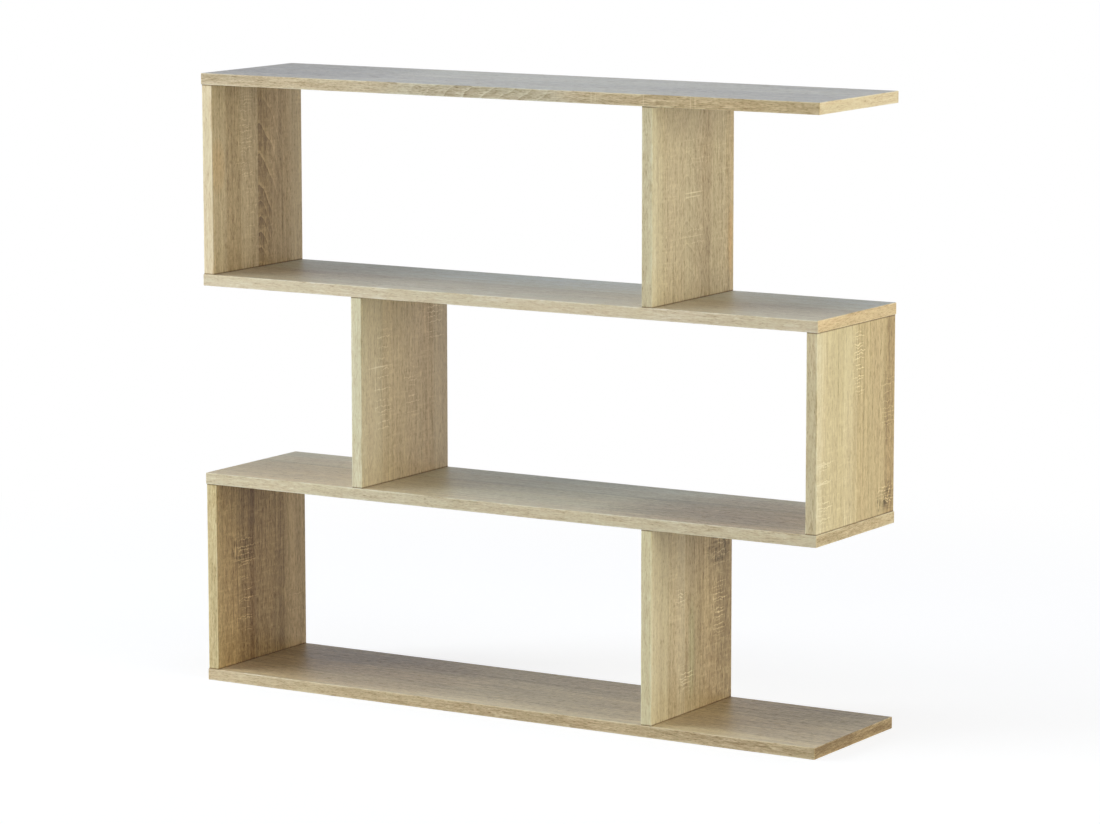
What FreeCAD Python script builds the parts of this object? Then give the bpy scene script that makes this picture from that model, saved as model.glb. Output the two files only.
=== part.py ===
"""A zigzag bookshelf: four long shelves, with two uprights between each pair.

On each tier one upright, the side, stands at an end of the shelves, and the other, the divider,
stands some way in from the opposite end. The tiers alternate, so the sides step from left to right
and back. Every panel is a melamine-faced board with a glued edging strip on each edge that shows.
Cam fittings pull the uprights against the shelves, and dowels line them up.

The model is in millimetres, with +Z up, +X along the shelves and the front facing -Y.
The origin is on the floor, under the middle of the bottom shelf.
"""

import FreeCAD
import Part

import math
import os

from FreeCAD import Placement, Rotation, Vector

# Panels
SHELF_LENGTH = 1100.0
SHELF_DEPTH = 250.0
BOARD_THICKNESS = 18.0
TIER_HEIGHT = 300.0
FREE_END = 280.0  # from a divider's outer face to the end of the shelf beside it
UPRIGHT_SETBACK = 1.0  # the uprights stand this far inside the shelves' edges

# Edging strips
EDGING_THICKNESS = 1.0
EDGING_ROUND = 0.8

# Where the fittings go
CAM_FROM_EDGE = 45.0  # from an upright's front or rear edge to its cams
CAM_FROM_END = 34.0  # from an upright's top or bottom end to its cams
DOWEL_FROM_CAM = 32.0  # from a cam's bolt to the dowel beside it, towards the middle
BLIND_SKIN = 5.0  # board left under a hole in a shelf

# Cam bolts
BOLT_THREAD = 6.0
BOLT_SHANK = 7.0
BOLT_NECK = 4.0
BOLT_NECK_LENGTH = 7.0
BOLT_HEAD = 6.6
BOLT_HEAD_HEIGHT = 5.0
BOLT_CHAMFER = 0.8  # at the thread's tip and the head's end
BOLT_PLAY = 0.5  # round the bolt in its bore

# Cams
CAM_DIAMETER = 15.0
CAM_SUNK = 0.5  # the cam's face lies this far below the board's
CAM_WALL = 1.3  # at the thinnest place round the chamber
CAM_FLOOR = 0.8  # under the chamber
CHAMBER_PLAY = 0.4  # beside the bolt's head in the chamber and its neck in the slot
DRIVE_SPAN = 8.0  # of the cross recess for the screwdriver
DRIVE_WIDTH = 1.6
DRIVE_FLOOR = 1.8  # cam left between the cross recess and the chamber

# Dowels
DOWEL_DIAMETER = 8.0
DOWEL_LENGTH = 35.0
DOWEL_CHAMFER = 1.0
FLUTE_DEPTH = 0.35
FLUTE_COUNT = 16
END_GAP = 1.0  # left for glue past each end of a dowel and of a bolt's thread

# Radial clearance of the dowels, the cams and the bolts' threads in their holes
FIT_CLEARANCE = 0.1

# How far a cutting tool reaches past the faces that it opens
OVERCUT = 1.0

SHELF_NAMES = ["bottom_shelf", "lower_shelf", "upper_shelf", "top_shelf"]
TIER_NAMES = ["bottom", "middle", "top"]

X_AXIS = Vector(1, 0, 0)
Z_AXIS = Vector(0, 0, 1)

# Sizes that follow from those above
upright_depth = SHELF_DEPTH - 2 * UPRIGHT_SETBACK
edging_round = min(EDGING_ROUND, 0.9 * EDGING_THICKNESS)
shelf_hole_depth = BOARD_THICKNESS - BLIND_SKIN
dowel_in_shelf = shelf_hole_depth - END_GAP
cam_y = upright_depth / 2 - CAM_FROM_EDGE
dowel_y = cam_y - DOWEL_FROM_CAM
bolt_bore_radius = max(BOLT_SHANK, BOLT_HEAD) / 2 + BOLT_PLAY
cam_radius = CAM_DIAMETER / 2
chamber_half = BOLT_HEAD / 2 + CHAMBER_PLAY
cam_depth_past_bolt = chamber_half + CAM_FLOOR
head_seat = BOLT_HEAD_HEIGHT / 2 + FIT_CLEARANCE
chamber_radius = (cam_radius - CAM_WALL + head_seat) / 2
chamber_offset = (cam_radius - CAM_WALL - head_seat) / 2


def box(low, high):
    """A box between two opposite corners."""
    size = high - low
    return Part.makeBox(size.x, size.y, size.z, low)


def edges_along(shape, direction):
    """The straight edges of a shape that run along a direction."""
    return [e for e in shape.Edges if abs(e.tangentAt(e.FirstParameter).dot(direction)) > 0.99]


def revolved(profile):
    """A solid of revolution about Z from (radius, height) points, which start and end on the axis."""
    points = [Vector(radius, 0, height) for radius, height in profile]
    face = Part.Face(Part.makePolygon(points + points[:1]))
    return face.revolve(Vector(), Z_AXIS, 360)


def strip(panel, low, high):
    """The one solid of a rounded panel that lies between two corners."""
    return panel.common(box(low, high)).Solids[0]


def banded_panel(low, high, ends_show):
    """The board of a panel between two corners, and its edging strips by the edge that they cover.

    Every panel has front and rear strips. Where its ends show, they get strips first, and the front
    and rear strips run over those. Only the edging's outer arrises are rounded.
    """
    edging = Vector(EDGING_THICKNESS if ends_show else 0, EDGING_THICKNESS, 0)
    inner_low, inner_high = low + edging, high - edging
    board = box(inner_low, inner_high)

    panel = box(low, high)
    panel = panel.makeFillet(edging_round, panel.Edges if ends_show else edges_along(panel, Z_AXIS))
    past = Vector(OVERCUT, OVERCUT, OVERCUT)
    outer_low, outer_high = low - past, high + past
    strips = {
        "front": strip(panel, outer_low, Vector(outer_high.x, inner_low.y, outer_high.z)),
        "rear": strip(panel, Vector(outer_low.x, inner_high.y, outer_low.z), outer_high),
    }
    if ends_show:
        left_low = Vector(outer_low.x, inner_low.y, outer_low.z)
        left_high = Vector(inner_low.x, inner_high.y, outer_high.z)
        to_right = Vector(inner_high.x - outer_low.x, 0, 0)
        strips["left"] = strip(panel, left_low, left_high)
        strips["right"] = strip(panel, left_low + to_right, left_high + to_right)
    return board, strips


def shelf_panel(level):
    """The board and the edging strips of the shelf at a level, counted from the floor."""
    low = Vector(-SHELF_LENGTH / 2, -SHELF_DEPTH / 2, level * (TIER_HEIGHT + BOARD_THICKNESS))
    return banded_panel(low, low + Vector(SHELF_LENGTH, SHELF_DEPTH, BOARD_THICKNESS), ends_show=True)


def upright_panel(centre_x, foot_z):
    """The board and the edging strips of an upright. Its sawn ends stand against the shelves."""
    low = Vector(centre_x - BOARD_THICKNESS / 2, -upright_depth / 2, foot_z)
    return banded_panel(low, low + Vector(BOARD_THICKNESS, upright_depth, TIER_HEIGHT), ends_show=False)


# Each fitting is drawn at a joint between a shelf and the upright on it: the origin is on the shelf's
# face, in the middle of the upright's thickness, with +Z up into the upright and its cams' face at -X.


def cam_bolt():
    """The bolt that stands in a shelf. The cam pulls on its head, which lies on the cam's axis."""
    thread, shank, neck, head = BOLT_THREAD / 2, BOLT_SHANK / 2, BOLT_NECK / 2, BOLT_HEAD / 2
    thread_tip = END_GAP - shelf_hole_depth
    head_low, head_high = CAM_FROM_END - BOLT_HEAD_HEIGHT / 2, CAM_FROM_END + BOLT_HEAD_HEIGHT / 2
    neck_low = head_low - BOLT_NECK_LENGTH
    return revolved(
        [
            (0, thread_tip),
            (thread - BOLT_CHAMFER, thread_tip),
            (thread, thread_tip + BOLT_CHAMFER),
            (thread, 0),
            (shank, 0),
            (shank, neck_low - (shank - neck)),
            (neck, neck_low),
            (neck, head_low),
            (head, head_low),
            (head, head_high - BOLT_CHAMFER),
            (head - BOLT_CHAMFER, head_high),
            (0, head_high),
        ]
    )


def cam():
    """A cam, locked: its eccentric chamber holds the bolt's head against the wall on the shelf's side.

    The head went in from that side, and half a turn then took the way in to the far side, while the
    bolt's neck ran along the slot. The cam is drawn on the Z axis, face down, with +X away from the
    shelf, and then turned to its place.
    """
    height = BOARD_THICKNESS / 2 - CAM_SUNK + cam_depth_past_bolt
    bolt_level = BOARD_THICKNESS / 2 - CAM_SUNK
    slot_half = BOLT_NECK / 2 + CHAMBER_PLAY
    reach = cam_radius + OVERCUT

    body = Part.makeCylinder(cam_radius, height)
    chamber = Part.makeCylinder(
        chamber_radius, 2 * chamber_half, Vector(chamber_offset, 0, bolt_level - chamber_half)
    )
    head_way_in = Part.makeCylinder(chamber_half, reach, Vector(0, 0, bolt_level), X_AXIS)
    neck_slot = Part.makeCylinder(
        reach, 2 * slot_half, Vector(0, 0, bolt_level - slot_half), Z_AXIS, 180
    )
    neck_place = Part.makeCylinder(slot_half, reach, Vector(0, 0, bolt_level), -X_AXIS)
    head_place = Part.makeCylinder(chamber_half, head_seat, Vector(0, 0, bolt_level), -X_AXIS)
    drive_depth = bolt_level - chamber_half - DRIVE_FLOOR
    bar_low = Vector(-DRIVE_SPAN / 2, -DRIVE_WIDTH / 2, -OVERCUT)
    bar = box(bar_low, Vector(DRIVE_SPAN / 2, DRIVE_WIDTH / 2, drive_depth))
    cross_bar = bar.copy()
    cross_bar.rotate(Vector(), Z_AXIS, 90)
    hollows = [chamber, head_way_in, neck_slot, neck_place, head_place, bar, cross_bar]
    made = body.cut(hollows).Solids[0]

    turned = Rotation(Z_AXIS, Vector(0, -1, 0), X_AXIS, "ZXY")
    made.Placement = Placement(Vector(-bolt_level, 0, CAM_FROM_END), turned)
    return made


def cam_bores():
    """What is drilled into an upright for a cam and its bolt."""
    radius = cam_radius + FIT_CLEARANCE
    depth = BOARD_THICKNESS / 2 + cam_depth_past_bolt
    mouth = Vector(-BOARD_THICKNESS / 2 - OVERCUT, 0, CAM_FROM_END)
    for_cam = Part.makeCylinder(radius, depth + OVERCUT, mouth, X_AXIS)
    for_bolt = Part.makeCylinder(bolt_bore_radius, CAM_FROM_END + OVERCUT, Vector(0, 0, -OVERCUT))
    return for_cam.fuse(for_bolt)


def shelf_hole(diameter):
    """A blind hole in a shelf for a bolt's thread or a dowel."""
    radius = diameter / 2 + FIT_CLEARANCE
    return Part.makeCylinder(radius, shelf_hole_depth + OVERCUT, Vector(0, 0, -shelf_hole_depth))


def fluted_ring(shrink, height):
    """The outline of a dowel, drawn in by a radial distance at its chamfered ends."""
    ring = []
    for k in range(2 * FLUTE_COUNT):
        radius = DOWEL_DIAMETER / 2 - shrink - (FLUTE_DEPTH if k % 2 else 0)
        angle = math.pi * k / FLUTE_COUNT
        ring.append(Vector(radius * math.cos(angle), radius * math.sin(angle), height))
    return Part.makePolygon(ring + ring[:1])


def dowel():
    """A fluted dowel with chamfered ends, its lower end in the shelf."""
    low, high = -dowel_in_shelf, DOWEL_LENGTH - dowel_in_shelf
    rings = [
        fluted_ring(DOWEL_CHAMFER, low),
        fluted_ring(0, low + DOWEL_CHAMFER),
        fluted_ring(0, high - DOWEL_CHAMFER),
        fluted_ring(DOWEL_CHAMFER, high),
    ]
    return Part.makeLoft(rings, True, True)


def dowel_bore():
    """The hole in an upright's end for a dowel."""
    depth = DOWEL_LENGTH - dowel_in_shelf + END_GAP
    return Part.makeCylinder(
        DOWEL_DIAMETER / 2 + FIT_CLEARANCE, depth + OVERCUT, Vector(0, 0, -OVERCUT)
    )


def placed(shape, placements):
    """A copy of a fitting at each of the given placements."""
    copies = []
    for placement in placements:
        copy = shape.copy()
        copy.Placement = placement.multiply(copy.Placement)
        copies.append(copy)
    return copies


def joint_placements(centre_x, face_z, into_upright, offset_y):
    """A front and a rear place for a fitting, where an upright meets a shelf's face.

    into_upright is 1 where the upright stands on that face, and -1 where it hangs from it.
    """
    turn = Rotation(X_AXIS, 0 if into_upright > 0 else 180)
    return [Placement(Vector(centre_x, side * offset_y, face_z), turn) for side in (-1, 1)]


def upright_places():
    """The name, tier and centre of each upright. Sides and dividers swap ends from tier to tier."""
    places = []
    for tier, tier_name in enumerate(TIER_NAMES):
        end = -1 if tier % 2 == 0 else 1
        side_x = end * (SHELF_LENGTH / 2 - UPRIGHT_SETBACK - BOARD_THICKNESS / 2)
        divider_x = -end * (SHELF_LENGTH / 2 - FREE_END - BOARD_THICKNESS / 2)
        places.append((tier_name + "_side", tier, side_x))
        places.append((tier_name + "_divider", tier, divider_x))
    return places


def build():
    """Every piece of the bookshelf: a dict of node name to shape."""
    bolt, one_cam, one_dowel = cam_bolt(), cam(), dowel()
    bores, dowel_hole = cam_bores(), dowel_bore()
    bolt_hole, dowel_seat = shelf_hole(BOLT_THREAD), shelf_hole(DOWEL_DIAMETER)
    nodes = {}
    shelf_drilling = {name: [] for name in SHELF_NAMES}

    for name, tier, centre_x in upright_places():
        foot_z = tier * (TIER_HEIGHT + BOARD_THICKNESS) + BOARD_THICKNESS
        foot, head = (SHELF_NAMES[tier], foot_z, 1), (SHELF_NAMES[tier + 1], foot_z + TIER_HEIGHT, -1)
        cam_places, dowel_places = [], []
        for shelf, face_z, into_upright in (foot, head):
            at_cams = joint_placements(centre_x, face_z, into_upright, cam_y)
            at_dowels = joint_placements(centre_x, face_z, into_upright, dowel_y)
            shelf_drilling[shelf] += placed(bolt_hole, at_cams) + placed(dowel_seat, at_dowels)
            cam_places += at_cams
            dowel_places += at_dowels

        board, strips = upright_panel(centre_x, foot_z)
        drilling = placed(bores, cam_places) + placed(dowel_hole, dowel_places)
        nodes[name + "_board"] = board.cut(drilling).Solids[0]
        for edge, piece in strips.items():
            nodes[f"{name}_{edge}_edging"] = piece
        nodes[name + "_cams"] = Part.makeCompound(placed(one_cam, cam_places))
        nodes[name + "_cam_bolts"] = Part.makeCompound(placed(bolt, cam_places))
        nodes[name + "_dowels"] = Part.makeCompound(placed(one_dowel, dowel_places))

    for level, name in enumerate(SHELF_NAMES):
        board, strips = shelf_panel(level)
        nodes[name + "_board"] = board.cut(shelf_drilling[name]).Solids[0]
        for edge, piece in strips.items():
            nodes[f"{name}_{edge}_edging"] = piece
    return nodes


def main():
    """Builds the bookshelf and writes one STEP file per node."""
    os.makedirs("parts", exist_ok=True)
    for name, shape in build().items():
        if not shape.isValid():
            raise ValueError(f"{name} is not a valid solid")
        shape.exportStep(os.path.join("parts", name + ".step"))
        print(f"{name}: {len(shape.Solids)} solids, {shape.Volume / 1000:.2f} cm3")


main()
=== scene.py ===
"""Looks of a zigzag bookshelf: oak print on its panels and strips, its fittings, and a plain studio."""

import logging
import math
from dataclasses import dataclass, replace
from enum import Enum
from typing import Any, Union

import bmesh
import bpy
from mathutils import Color, Matrix, Vector

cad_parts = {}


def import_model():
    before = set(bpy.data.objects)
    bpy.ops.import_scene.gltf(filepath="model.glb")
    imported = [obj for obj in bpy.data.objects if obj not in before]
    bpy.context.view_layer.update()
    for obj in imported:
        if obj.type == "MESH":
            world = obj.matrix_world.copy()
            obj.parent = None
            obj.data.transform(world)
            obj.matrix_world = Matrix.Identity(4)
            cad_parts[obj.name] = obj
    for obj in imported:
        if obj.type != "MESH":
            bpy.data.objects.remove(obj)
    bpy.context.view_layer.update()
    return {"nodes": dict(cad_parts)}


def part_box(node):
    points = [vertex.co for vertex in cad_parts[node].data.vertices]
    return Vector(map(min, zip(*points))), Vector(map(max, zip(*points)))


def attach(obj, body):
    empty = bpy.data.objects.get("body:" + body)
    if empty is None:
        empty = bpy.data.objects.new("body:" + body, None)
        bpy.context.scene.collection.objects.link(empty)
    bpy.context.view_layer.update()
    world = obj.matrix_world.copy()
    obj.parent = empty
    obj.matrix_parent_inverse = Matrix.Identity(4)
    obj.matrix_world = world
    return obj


Band = tuple[float, float]
Point = tuple[float, float, float]
Colour = tuple[float, float, float, float]
Stops = tuple[tuple[float, Colour], ...]
Number = Union["Signal", float]

LOG = logging.getLogger("bookshelf")
MM = 0.001
QUARTER_TURN = math.radians(90)
WHITE: Colour = (1.0, 1.0, 1.0, 1.0)


def srgb(red: int, green: int, blue: int) -> Colour:
    """Turn a colour as it is seen into the linear values that shaders take.

    Args:
        red: Red from 0 to 255.
        green: Green from 0 to 255.
        blue: Blue from 0 to 255.

    Returns:
        The linear colour with full opacity.
    """
    seen = Color((red / 255, green / 255, blue / 255))
    return (*seen.from_srgb_to_scene_linear(), 1.0)


class Axis(Enum):
    """An axis of the bookshelf's frame."""

    X = 0
    Y = 1
    Z = 2


class Side(Enum):
    """An edge of a panel that has a strip, as the strips' nodes are named."""

    FRONT = "front"
    REAR = "rear"
    LEFT = "left"
    RIGHT = "right"


class Fitting(Enum):
    """A kind of fitting in an upright's ends, as the fittings' nodes are named."""

    CAM = "cams"
    BOLT = "cam_bolts"
    DOWEL = "dowels"


class Blend(Enum):
    """How a second colour goes on a first."""

    COVER = "MIX"
    STAIN = "MULTIPLY"


class Signal:
    """A shader socket on which Python's operators add Math nodes."""

    def __init__(self, graph: "NodeGraph", socket: bpy.types.NodeSocket) -> None:
        """Keep the socket and the graph that it belongs to."""
        self.graph = graph
        self.socket = socket

    def __add__(self, other: Number) -> "Signal":
        """Sum with a number or another signal."""
        return self.graph.math("ADD", self, other)

    __radd__ = __add__

    def __sub__(self, other: Number) -> "Signal":
        """Difference from a number or another signal."""
        return self.graph.math("SUBTRACT", self, other)

    def __rsub__(self, other: Number) -> "Signal":
        """A number less this signal."""
        return self.graph.math("SUBTRACT", other, self)

    def __mul__(self, other: Number) -> "Signal":
        """Product with a number or another signal."""
        return self.graph.math("MULTIPLY", self, other)

    __rmul__ = __mul__

    def __truediv__(self, other: Number) -> "Signal":
        """Quotient by a number or another signal."""
        return self.graph.math("DIVIDE", self, other)

    def __rtruediv__(self, other: Number) -> "Signal":
        """A number divided by this signal."""
        return self.graph.math("DIVIDE", other, self)

    def __pow__(self, other: Number) -> "Signal":
        """Power of this signal."""
        return self.graph.math("POWER", self, other)

    def __rpow__(self, other: Number) -> "Signal":
        """A number to the power of this signal."""
        return self.graph.math("POWER", other, self)

    def __abs__(self) -> "Signal":
        """Size without the sign."""
        return self.graph.math("ABSOLUTE", self, 0.0)

    def beyond(self, edge: float) -> "Signal":
        """One where the signal is more than the edge, and zero elsewhere."""
        return self.graph.math("GREATER_THAN", self, edge)

    def fraction(self) -> "Signal":
        """What is left over the whole number below."""
        return self.graph.math("FRACT", self, 0.0)

    def whole(self) -> "Signal":
        """The whole number below."""
        return self.graph.math("FLOOR", self, 0.0)

    def chance(self) -> "Signal":
        """A number from 0 to 1 that differs from one whole number to the next."""
        return self.graph.add("ShaderNodeTexWhiteNoise", {"noise_dimensions": "1D"}, {"W": self})

    def least(self, other: Number) -> "Signal":
        """The smaller of two values."""
        return self.graph.math("MINIMUM", self, other)

    def clipped(self) -> "Signal":
        """The signal held between zero and one."""
        return self.graph.add("ShaderNodeClamp", {}, {"Value": self})

    def centred(self) -> "Signal":
        """A signal that lies about a half, moved to lie about zero."""
        return self - 0.5

    def tent(self) -> "Signal":
        """One at zero, falling straight to nothing at one on either side."""
        return (1.0 - abs(self)).clipped()

    def dome(self) -> "Signal":
        """One at zero, falling in a curve to nothing at one on either side."""
        return (1.0 - self * self).clipped()

    def rise(self, band: Band) -> "Signal":
        """Smooth step from zero at the band's low value to one at its high value."""
        ends = {"Value": self, "From Min": band[0], "From Max": band[1]}
        return self.graph.add("ShaderNodeMapRange", {"interpolation_type": "SMOOTHSTEP"}, ends)

    def spread(self, ends: Band) -> "Signal":
        """A signal from zero to one, spread from a first value to a last."""
        return self * (ends[1] - ends[0]) + ends[0]

    def twin(self, output: str) -> "Signal":
        """Another output of the node that gives this signal."""
        return Signal(self.graph, self.socket.node.outputs[output])


@dataclass(frozen=True)
class GrainLayer:
    """One layer of noise, in waves to the metre, with its weight in a material's tone or relief."""

    along: float
    across: float
    strength: float = 0.0
    detail: float = 2.0
    roughness: float = 0.5
    waver: float = 0.0
    shift: float = 0.0


@dataclass(frozen=True)
class Bump:
    """How strongly a surface's relief shows, and its depth in metres."""

    strength: float
    depth: float


class NodeGraph:
    """A node tree that is filled by one method."""

    def __init__(self, tree: bpy.types.NodeTree) -> None:
        """Take a tree and empty it."""
        self.tree = tree
        self.tree.nodes.clear()

    def add(
        self,
        kind: str,
        settings: dict[str, Any] | None = None,
        sockets: dict[str | int, Any] | None = None,
        output: str | int = 0,
    ) -> Signal:
        """Add one node.

        Args:
            kind: Blender's name of the node type.
            settings: Properties of the node, set first. The key "stops" holds a ramp's places and colours.
            sockets: Values or signals for the node's inputs.
            output: The output that the signal stands for.

        Returns:
            The chosen output, or the first input of a node that ends a tree.
        """
        node = self.tree.nodes.new(kind)
        for name, value in (settings or {}).items():
            if name == "stops":
                self._set_stops(node.color_ramp, value)
            else:
                setattr(node, name, value)
        for key, value in (sockets or {}).items():
            if isinstance(value, Signal):
                self.tree.links.new(value.socket, node.inputs[key])
            else:
                node.inputs[key].default_value = value
        return Signal(self, node.outputs[output] if node.outputs else node.inputs[0])

    def _set_stops(self, ramp: bpy.types.ColorRamp, stops: Stops) -> None:
        """Give a ramp its places and colours.

        Args:
            ramp: The ramp of a new node, which has two stops.
            stops: Places from 0 to 1, in order, with their colours.
        """
        while len(ramp.elements) < len(stops):
            ramp.elements.new(1.0)
        for element, (place, colour) in zip(ramp.elements, stops):
            element.position = place
            element.color = colour

    def math(self, operation: str, first: Number, second: Number) -> Signal:
        """Add a Math node on one or two values."""
        return self.add("ShaderNodeMath", {"operation": operation}, {0: first, 1: second})

    def mix(self, share: Number, first: Any, second: Any, blend: Blend = Blend.COVER) -> Signal:
        """Mix two colours.

        Args:
            share: How much of the second colour.
            first: The first colour.
            second: The second colour.
            blend: How the second goes on the first.

        Returns:
            The mixed colour.
        """
        # The node's sockets for colours are inputs 6 and 7 and output 2.
        return self.add(
            "ShaderNodeMix",
            {"data_type": "RGBA", "blend_type": blend.value, "clamp_factor": False},
            {0: share, 6: first, 7: second},
            2,
        )

    def vector(self, x: Number, y: Number, z: Number) -> Signal:
        """Join three values to a vector."""
        return self.add("ShaderNodeCombineXYZ", {}, {0: x, 1: y, 2: z})

    def point(self) -> Signal:
        """The point that is shaded, as a vector in metres."""
        return self.add("ShaderNodeTexCoord", output="Object")

    def place(self) -> tuple[Signal, Signal, Signal]:
        """The X, Y and Z of the point that is shaded, in metres."""
        split = self.add("ShaderNodeSeparateXYZ", {}, {"Vector": self.point()}, "X")
        return split, split.twin("Y"), split.twin("Z")

    def grain_noise(self, point: Signal, layer: GrainLayer) -> Signal:
        """Noise drawn out along the grain.

        Args:
            point: Vector of the distance along the grain, the distance across it, and a seed.
            layer: How fine the noise is each way.

        Returns:
            Values about a half.
        """
        scale = (layer.along, layer.across, 1.0)
        stretched = self.add(
            "ShaderNodeMapping", {}, {"Vector": point, "Location": (layer.shift,) * 3, "Scale": scale}
        )
        return self.add(
            "ShaderNodeTexNoise",
            {"noise_dimensions": "3D"},
            {"Vector": stretched, "Scale": 1.0, "Detail": layer.detail, "Roughness": layer.roughness,
             "Distortion": layer.waver},
        )

    def surface(self, sockets: dict[str | int, Any], relief: Signal, bump: Bump) -> None:
        """End a material with its shader.

        Args:
            sockets: Values or signals for the shader's inputs.
            relief: How high the surface stands.
            bump: How strongly the relief shows.
        """
        normal = self.add(
            "ShaderNodeBump", {}, {"Strength": bump.strength, "Distance": bump.depth, "Height": relief}
        )
        shader = self.add("ShaderNodeBsdfPrincipled", {}, {**sockets, "Normal": normal})
        self.add("ShaderNodeOutputMaterial", {}, {"Surface": shader})


def new_material(name: str) -> tuple[bpy.types.Material, NodeGraph]:
    """Start a material.

    Args:
        name: Name of the material.

    Returns:
        The material and its empty node tree.
    """
    made = bpy.data.materials.new(name)
    made.use_nodes = True
    return made, NodeGraph(made.node_tree)


@dataclass(frozen=True)
class Ground:
    """What a print is drawn on: distances in millimetres, and the noise of each layer."""

    along: Signal
    across: Signal
    drift: Signal
    streak: Signal
    fleck: Signal
    fine: Signal
    pores: Signal
    rings: Signal
    saw: Signal
    mottle: Signal
    blush: Signal
    hair: Signal


@dataclass(frozen=True)
class Stave:
    """A strip of the print that starts at a distance from the front edge, in millimetres. On some panels
    its tone and tints also carry painted shade, bounce light and sheen.
    """

    start: float
    tone: float
    warmth: float = 0.0
    blush: float = 0.0
    soft: float = 1.0


@dataclass(frozen=True)
class Mark:
    """Something at one place of a print, in millimetres from the front edge and the head or left end."""

    across: float
    along: float

    def mask(self, ground: Ground) -> Signal:
        """How strong the mark is at each point of the ground."""
        raise NotImplementedError


@dataclass(frozen=True)
class Patch(Mark):
    """A soft oval, dark, warm or olive, about its middle."""

    half_width: float
    half_length: float
    strength: float = 1.0
    softness: float = 0.6

    def mask(self, ground: Ground) -> Signal:
        """Draw the oval.

        Args:
            ground: The print that it lies on.

        Returns:
            Strength in the middle, falling to zero at the rim.
        """
        wide = (ground.across - self.across) / self.half_width
        long = (ground.along - self.along) / self.half_length
        return (1.0 - wide * wide - long * long).clipped() ** self.softness * self.strength


@dataclass(frozen=True)
class Ladder(Mark):
    """A run of pale saw marks across the grain, about its middle, with a broken line down one side."""

    half_width: float
    half_length: float
    strength: float = 1.0
    spacing: float = 6.0
    thickness: float = 2.6
    gap: float = 0.12
    bend: float = 10.0
    skip: float = 0.15
    skip_range: float = 0.5
    jitter: float = 0.5
    wander: float = 0.7
    reach: Band = (0.35, 1.0)
    boldness: Band = (0.1, 1.3)
    broken_band: Band = (0.3, 0.6)
    unbroken: Band = (0.2, 1.0)
    spine_half_width: float = 2.4
    spine_band: Band = (0.46, 0.64)
    spine_strength: float = 0.35

    def mask(self, ground: Ground) -> Signal:
        """Draw the marks. Each has its own length, place and boldness.

        Args:
            ground: The print that they lie on, whose noise bends the marks and breaks them up.

        Returns:
            More than zero on a mark, and a little less than zero between marks.
        """
        step = (ground.along + ground.mottle.centred() * self.bend) / self.spacing
        number = step.whole()
        # Each mark has two draws of its own.
        chance = (number + self.across).chance()
        luck = (number + self.along + 0.5).chance()
        place = step.fraction().centred() - chance.centred() * self.jitter
        line = (place * (2 * self.spacing / self.thickness)).tent()
        aside = self.wander * self.half_width
        middle = luck.centred() * aside + self.across
        span = ((ground.across - middle) / (chance.spread(self.reach) * self.half_width)).dome() ** 0.5
        bold = luck.rise((self.skip, self.skip + self.skip_range)).spread(self.boldness)
        bold = bold * ground.fleck.rise(self.broken_band).spread(self.unbroken)
        edge = (ground.across - (self.across - aside)) / self.spine_half_width
        spine = edge.dome() * ground.fleck.rise(self.spine_band) * self.spine_strength
        long = (ground.along - self.along) / self.half_length
        held = (long * long).dome() * self.strength
        return ((line * bold - self.gap) * span + spine) * held


@dataclass(frozen=True)
class Scratch(Mark):
    """One pale line across the grain, about its middle."""

    half_length: float
    strength: float = 1.0
    half_thickness: float = 1.3
    taper: float = 0.4

    def mask(self, ground: Ground) -> Signal:
        """Draw the line.

        Args:
            ground: The print that it lies on.

        Returns:
            Strength on the line and zero off it.
        """
        reach = ((ground.across - self.across) / self.half_length).tent()
        thin = ((ground.along - self.along) / self.half_thickness).tent()
        return reach ** self.taper * thin * self.strength


@dataclass(frozen=True)
class Flame(Mark):
    """Nested arches of growth rings, about an axis along the grain and on from the first arch."""

    width: float
    drop: float
    spacing: float
    length: float
    strength: float = 1.0
    edge: float | None = None
    fade: float = 3.0
    curve: float = 1.5
    side_fade: float = 0.3
    pale_band: Band = (0.80, 0.97)
    pale: float = 0.7

    def mask(self, ground: Ground) -> Signal:
        """Draw the rings, only beyond the edge where there is one.

        Args:
            ground: The print that they lie on, whose noise bends the rings.

        Returns:
            Strength on the dark side of each ring, fading over the ring to a pale line.
        """
        off = (ground.across - self.across) / self.width
        run = ground.along - self.along
        fall = abs(off) ** self.curve * self.drop
        part = ((run - fall) / self.spacing + ground.blush.centred()).fraction()
        dark = (1.0 - part) ** self.fade * (1.0 - abs(off) * self.side_fade).clipped()
        half = self.length / 2
        held = ((run - half) / half).dome() ** 0.5 * (1.0 - off * off * self.side_fade).clipped()
        if self.edge is not None:
            held = held * ground.across.beyond(self.edge)
        return (dark - part.rise(self.pale_band) * self.pale) * held * self.strength


def total(marks: tuple[Mark, ...], ground: Ground) -> Number:
    """The masks of some marks added up, or zero where there are none."""
    return sum((mark.mask(ground) for mark in marks), 0.0)


@dataclass(frozen=True)
class Figure:
    """What the oak print shows on one panel or strip, with painted light in some staves and patches."""

    seed: float
    staves: tuple[Stave, ...]
    saw_marks: tuple[Ladder, ...] = ()
    knots: tuple[Patch, ...] = ()
    warm_patches: tuple[Patch, ...] = ()
    dark_print_and_shade_patches: tuple[Patch, ...] = ()
    olive_patches: tuple[Patch, ...] = ()
    scratches: tuple[Scratch, ...] = ()
    flames: tuple[Flame, ...] = ()

    def stepped(self, across: Signal, values: list[float]) -> Number:
        """Step from one stave's value to the next.

        Args:
            across: Distance from the front edge in millimetres.
            values: One value for each stave.

        Returns:
            The value as a signal, or as a number where all staves share it.
        """
        value: Number = values[0]
        for stave, before, after in zip(self.staves[1:], values, values[1:]):
            if after != before:
                half = stave.soft / 2
                value = value + across.rise((stave.start - half, stave.start + half)) * (after - before)
        return value


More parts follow.
